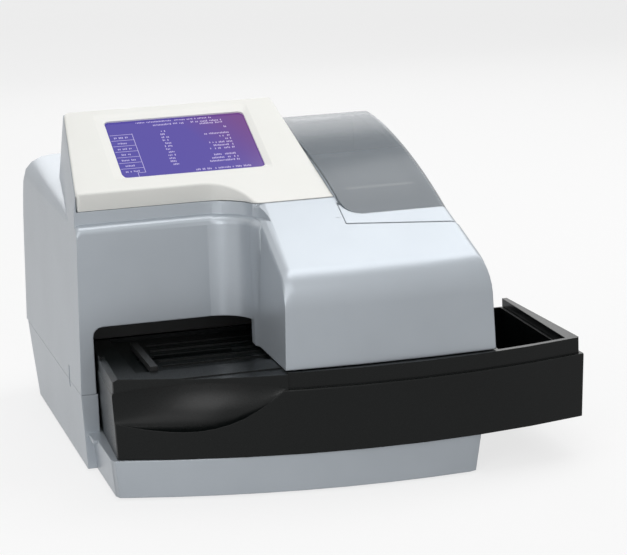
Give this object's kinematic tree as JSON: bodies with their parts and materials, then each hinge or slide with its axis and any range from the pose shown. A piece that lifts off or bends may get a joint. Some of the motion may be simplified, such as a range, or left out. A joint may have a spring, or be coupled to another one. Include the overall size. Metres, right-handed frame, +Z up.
{
  "type": "urine analyzer",
  "caption": "Bench urine strip analyzer: silver housing, sloping touch display, smoked printer cover, hood and a long black strip tray with pusher, walking beam and waste box.",
  "frame": {"origin": "on the bench, under the middle of the machine's bounding box", "axes": "+X to the operator's right, -Y to the operator, +Z up"},
  "size_m": [0.3976, 0.4199, 0.2815],
  "materials": {
    "alcove_liner": "black sheet",
    "backup_battery": "bright steel",
    "base_screw_back_left": "zinc-plated steel",
    "base_screw_back_right": "zinc-plated steel",
    "base_screw_front_left": "zinc-plated steel",
    "base_screw_front_right": "zinc-plated steel",
    "beam_carrier": "zinc-plated sheet",
    "beam_lifter": "zinc-plated bracket",
    "calibration_plate": "white ceramic",
    "cover_grip": "silver-white ABS, satin",
    "cover_hinge_pin": "bright steel",
    "data_port": "bright steel",
    "display_bezel": "white ABS, satin",
    "fan_frame": "black PBT",
    "fan_rotor": "black PBT",
    "foot_back_left": "black rubber",
    "foot_back_right": "black rubber",
    "foot_front_left": "black rubber",
    "foot_front_right": "black rubber",
    "head_belt": "black rubber",
    "head_chassis": "bright steel",
    "head_idler": "bright steel",
    "head_lens": "clear glass",
    "head_motor": "bright steel",
    "head_pulley": "bright steel",
    "head_rod_left": "bright steel",
    "head_rod_right": "bright steel",
    "idler_bracket": "zinc-plated sheet",
    "lcd_bracket": "zinc-plated sheet",
    "lcd_module": "lit blue-violet display",
    "lower_housing": "silver-grey painted ABS, satin",
    "main_board": "green solder mask",
    "paper_roll": "white thermal paper",
    "platen_roller": "black rubber on a steel shaft",
    "power_inlet": "black nylon",
    "power_supply": "zinc-plated steel case",
    "power_switch": "black nylon",
    "printer_cover": "smoked transparent polycarbonate",
    "printer_mechanism": "grey glass-filled nylon",
    "printer_tub": "grey ABS",
    "processor": "black-grey epoxy",
    "push_bar": "black acetal",
    "pusher_belt": "black rubber",
    "pusher_idler": "bright steel",
    "pusher_motor": "bright steel",
    "pusher_pulley": "bright steel",
    "pusher_rod": "bright steel",
    "reading_head": "grey ABS",
    "rear_panel": "zinc-plated sheet",
    "roll_spindle": "grey acetal",
    "serial_port": "bright steel",
    "strip_platform": "black ABS, satin",
    "strip_tray": "black ABS, fine satin",
    "switch_body": "black nylon",
    "tear_bar": "bright steel",
    "touch_panel": "coated glass",
    "upper_housing": "silver-grey painted ABS, satin",
    "walking_beam": "black acetal",
    "waste_box": "black polypropylene"
  },
  "bodies": {
    "housing": {"alcove_liner": "alcove_liner", "backup_battery": "backup_battery", "base_screw_back_left": "base_screw_back_left", "base_screw_back_right": "base_screw_back_right", "base_screw_front_left": "base_screw_front_left", "base_screw_front_right": "base_screw_front_right", "beam_lifter": "beam_lifter", "calibration_plate": "calibration_plate", "cover_hinge_pin": "cover_hinge_pin", "data_port": "data_port", "display_bezel": "display_bezel", "fan_frame": "fan_frame", "foot_back_left": "foot_back_left", "foot_back_right": "foot_back_right", "foot_front_left": "foot_front_left", "foot_front_right": "foot_front_right", "head_belt": "head_belt", "head_chassis": "head_chassis", "head_motor": "head_motor", "head_rod_left": "head_rod_left", "head_rod_right": "head_rod_right", "idler_bracket": "idler_bracket", "lcd_bracket": "lcd_bracket", "lcd_module": "lcd_module", "lower_housing": "lower_housing", "main_board": "main_board", "power_inlet": "power_inlet", "power_supply": "power_supply", "printer_mechanism": "printer_mechanism", "printer_tub": "printer_tub", "processor": "processor", "pusher_belt": "pusher_belt", "pusher_motor": "pusher_motor", "pusher_rod": "pusher_rod", "rear_panel": "rear_panel", "serial_port": "serial_port", "strip_platform": "strip_platform", "strip_tray": "strip_tray", "switch_body": "switch_body", "tear_bar": "tear_bar", "touch_panel": "touch_panel", "upper_housing": "upper_housing"},
    "cover": {"printer_cover": "printer_cover", "cover_grip": "cover_grip"},
    "paper": {"paper_roll": "paper_roll", "roll_spindle": "roll_spindle"},
    "platen": {"platen_roller": "platen_roller"},
    "pusher": {"push_bar": "push_bar"},
    "pusher_drive": {"pusher_pulley": "pusher_pulley"},
    "pusher_return": {"pusher_idler": "pusher_idler"},
    "head": {"reading_head": "reading_head", "head_lens": "head_lens"},
    "head_drive": {"head_pulley": "head_pulley"},
    "head_return": {"head_idler": "head_idler"},
    "beam_base": {"beam_carrier": "beam_carrier"},
    "beam": {"walking_beam": "walking_beam"},
    "waste": {"waste_box": "waste_box"},
    "rocker": {"power_switch": "power_switch"},
    "fan": {"fan_rotor": "fan_rotor"}
  },
  "joints": [
    {"name": "cover_hinge", "type": "hinge", "parent": "housing", "child": "cover", "pos_m": [0.00031, 0.0466, 0.25566], "axis": [-1, 0, 0], "range_deg": [0, 70]},
    {"name": "roll_spin", "type": "hinge", "parent": "housing", "child": "paper", "pos_m": [0.05692, -0.08, 0.20052], "axis": [1, 0, 0], "continuous": true},
    {"name": "platen_spin", "type": "hinge", "parent": "housing", "child": "platen", "pos_m": [0.0519, -0.035, 0.23471], "axis": [1, 0, 0], "continuous": true},
    {"name": "push_slide", "type": "slide", "parent": "housing", "child": "pusher", "axis": [1, 0, 0], "range_m": [0, 0.072]},
    {"name": "pusher_pulley_spin", "type": "hinge", "parent": "housing", "child": "pusher_drive", "pos_m": [-0.068, -0.084, 0.071], "axis": [0, 1, 0], "range_deg": [0, 760]},
    {"name": "pusher_idler_spin", "type": "hinge", "parent": "housing", "child": "pusher_return", "pos_m": [-0.17, -0.084, 0.071], "axis": [0, 1, 0], "range_deg": [0, 760]},
    {"name": "head_slide", "type": "slide", "parent": "housing", "child": "head", "axis": [0, -1, 0], "range_m": [0, 0.086]},
    {"name": "head_pulley_spin", "type": "hinge", "parent": "housing", "child": "head_drive", "pos_m": [0.078, -0.048, 0.15], "axis": [1, 0, 0], "range_deg": [0, 900]},
    {"name": "head_idler_spin", "type": "hinge", "parent": "housing", "child": "head_return", "pos_m": [0.078, -0.17, 0.15], "axis": [1, 0, 0], "range_deg": [0, 900]},
    {"name": "beam_lift", "type": "slide", "parent": "housing", "child": "beam_base", "axis": [0, 0, 1], "range_m": [0, 0.003]},
    {"name": "beam_step", "type": "slide", "parent": "beam_base", "child": "beam", "axis": [1, 0, 0], "range_m": [0, 0.012]},
    {"name": "waste_lift", "type": "slide", "parent": "housing", "child": "waste", "axis": [0, 0, 1], "range_m": [0, 0.12]},
    {"name": "power_rocker", "type": "hinge", "parent": "housing", "child": "rocker", "pos_m": [0.022, 0.203, 0.106], "axis": [0, 0, 1], "range_deg": [0, 12]},
    {"name": "fan_spin", "type": "hinge", "parent": "housing", "child": "fan", "pos_m": [-0.018, 0.1999, 0.106], "axis": [0, 1, 0], "continuous": true}
  ],
  "couplings": [
    {"joint": "pusher_pulley_spin", "follows": "push_slide", "rad_per_m": 181.82},
    {"joint": "pusher_idler_spin", "follows": "push_slide", "rad_per_m": 181.82},
    {"joint": "head_pulley_spin", "follows": "head_slide", "rad_per_m": 181.82},
    {"joint": "head_idler_spin", "follows": "head_slide", "rad_per_m": 181.82},
    {"joint": "platen_spin", "follows": "roll_spin", "ratio": 4.8889}
  ]
}
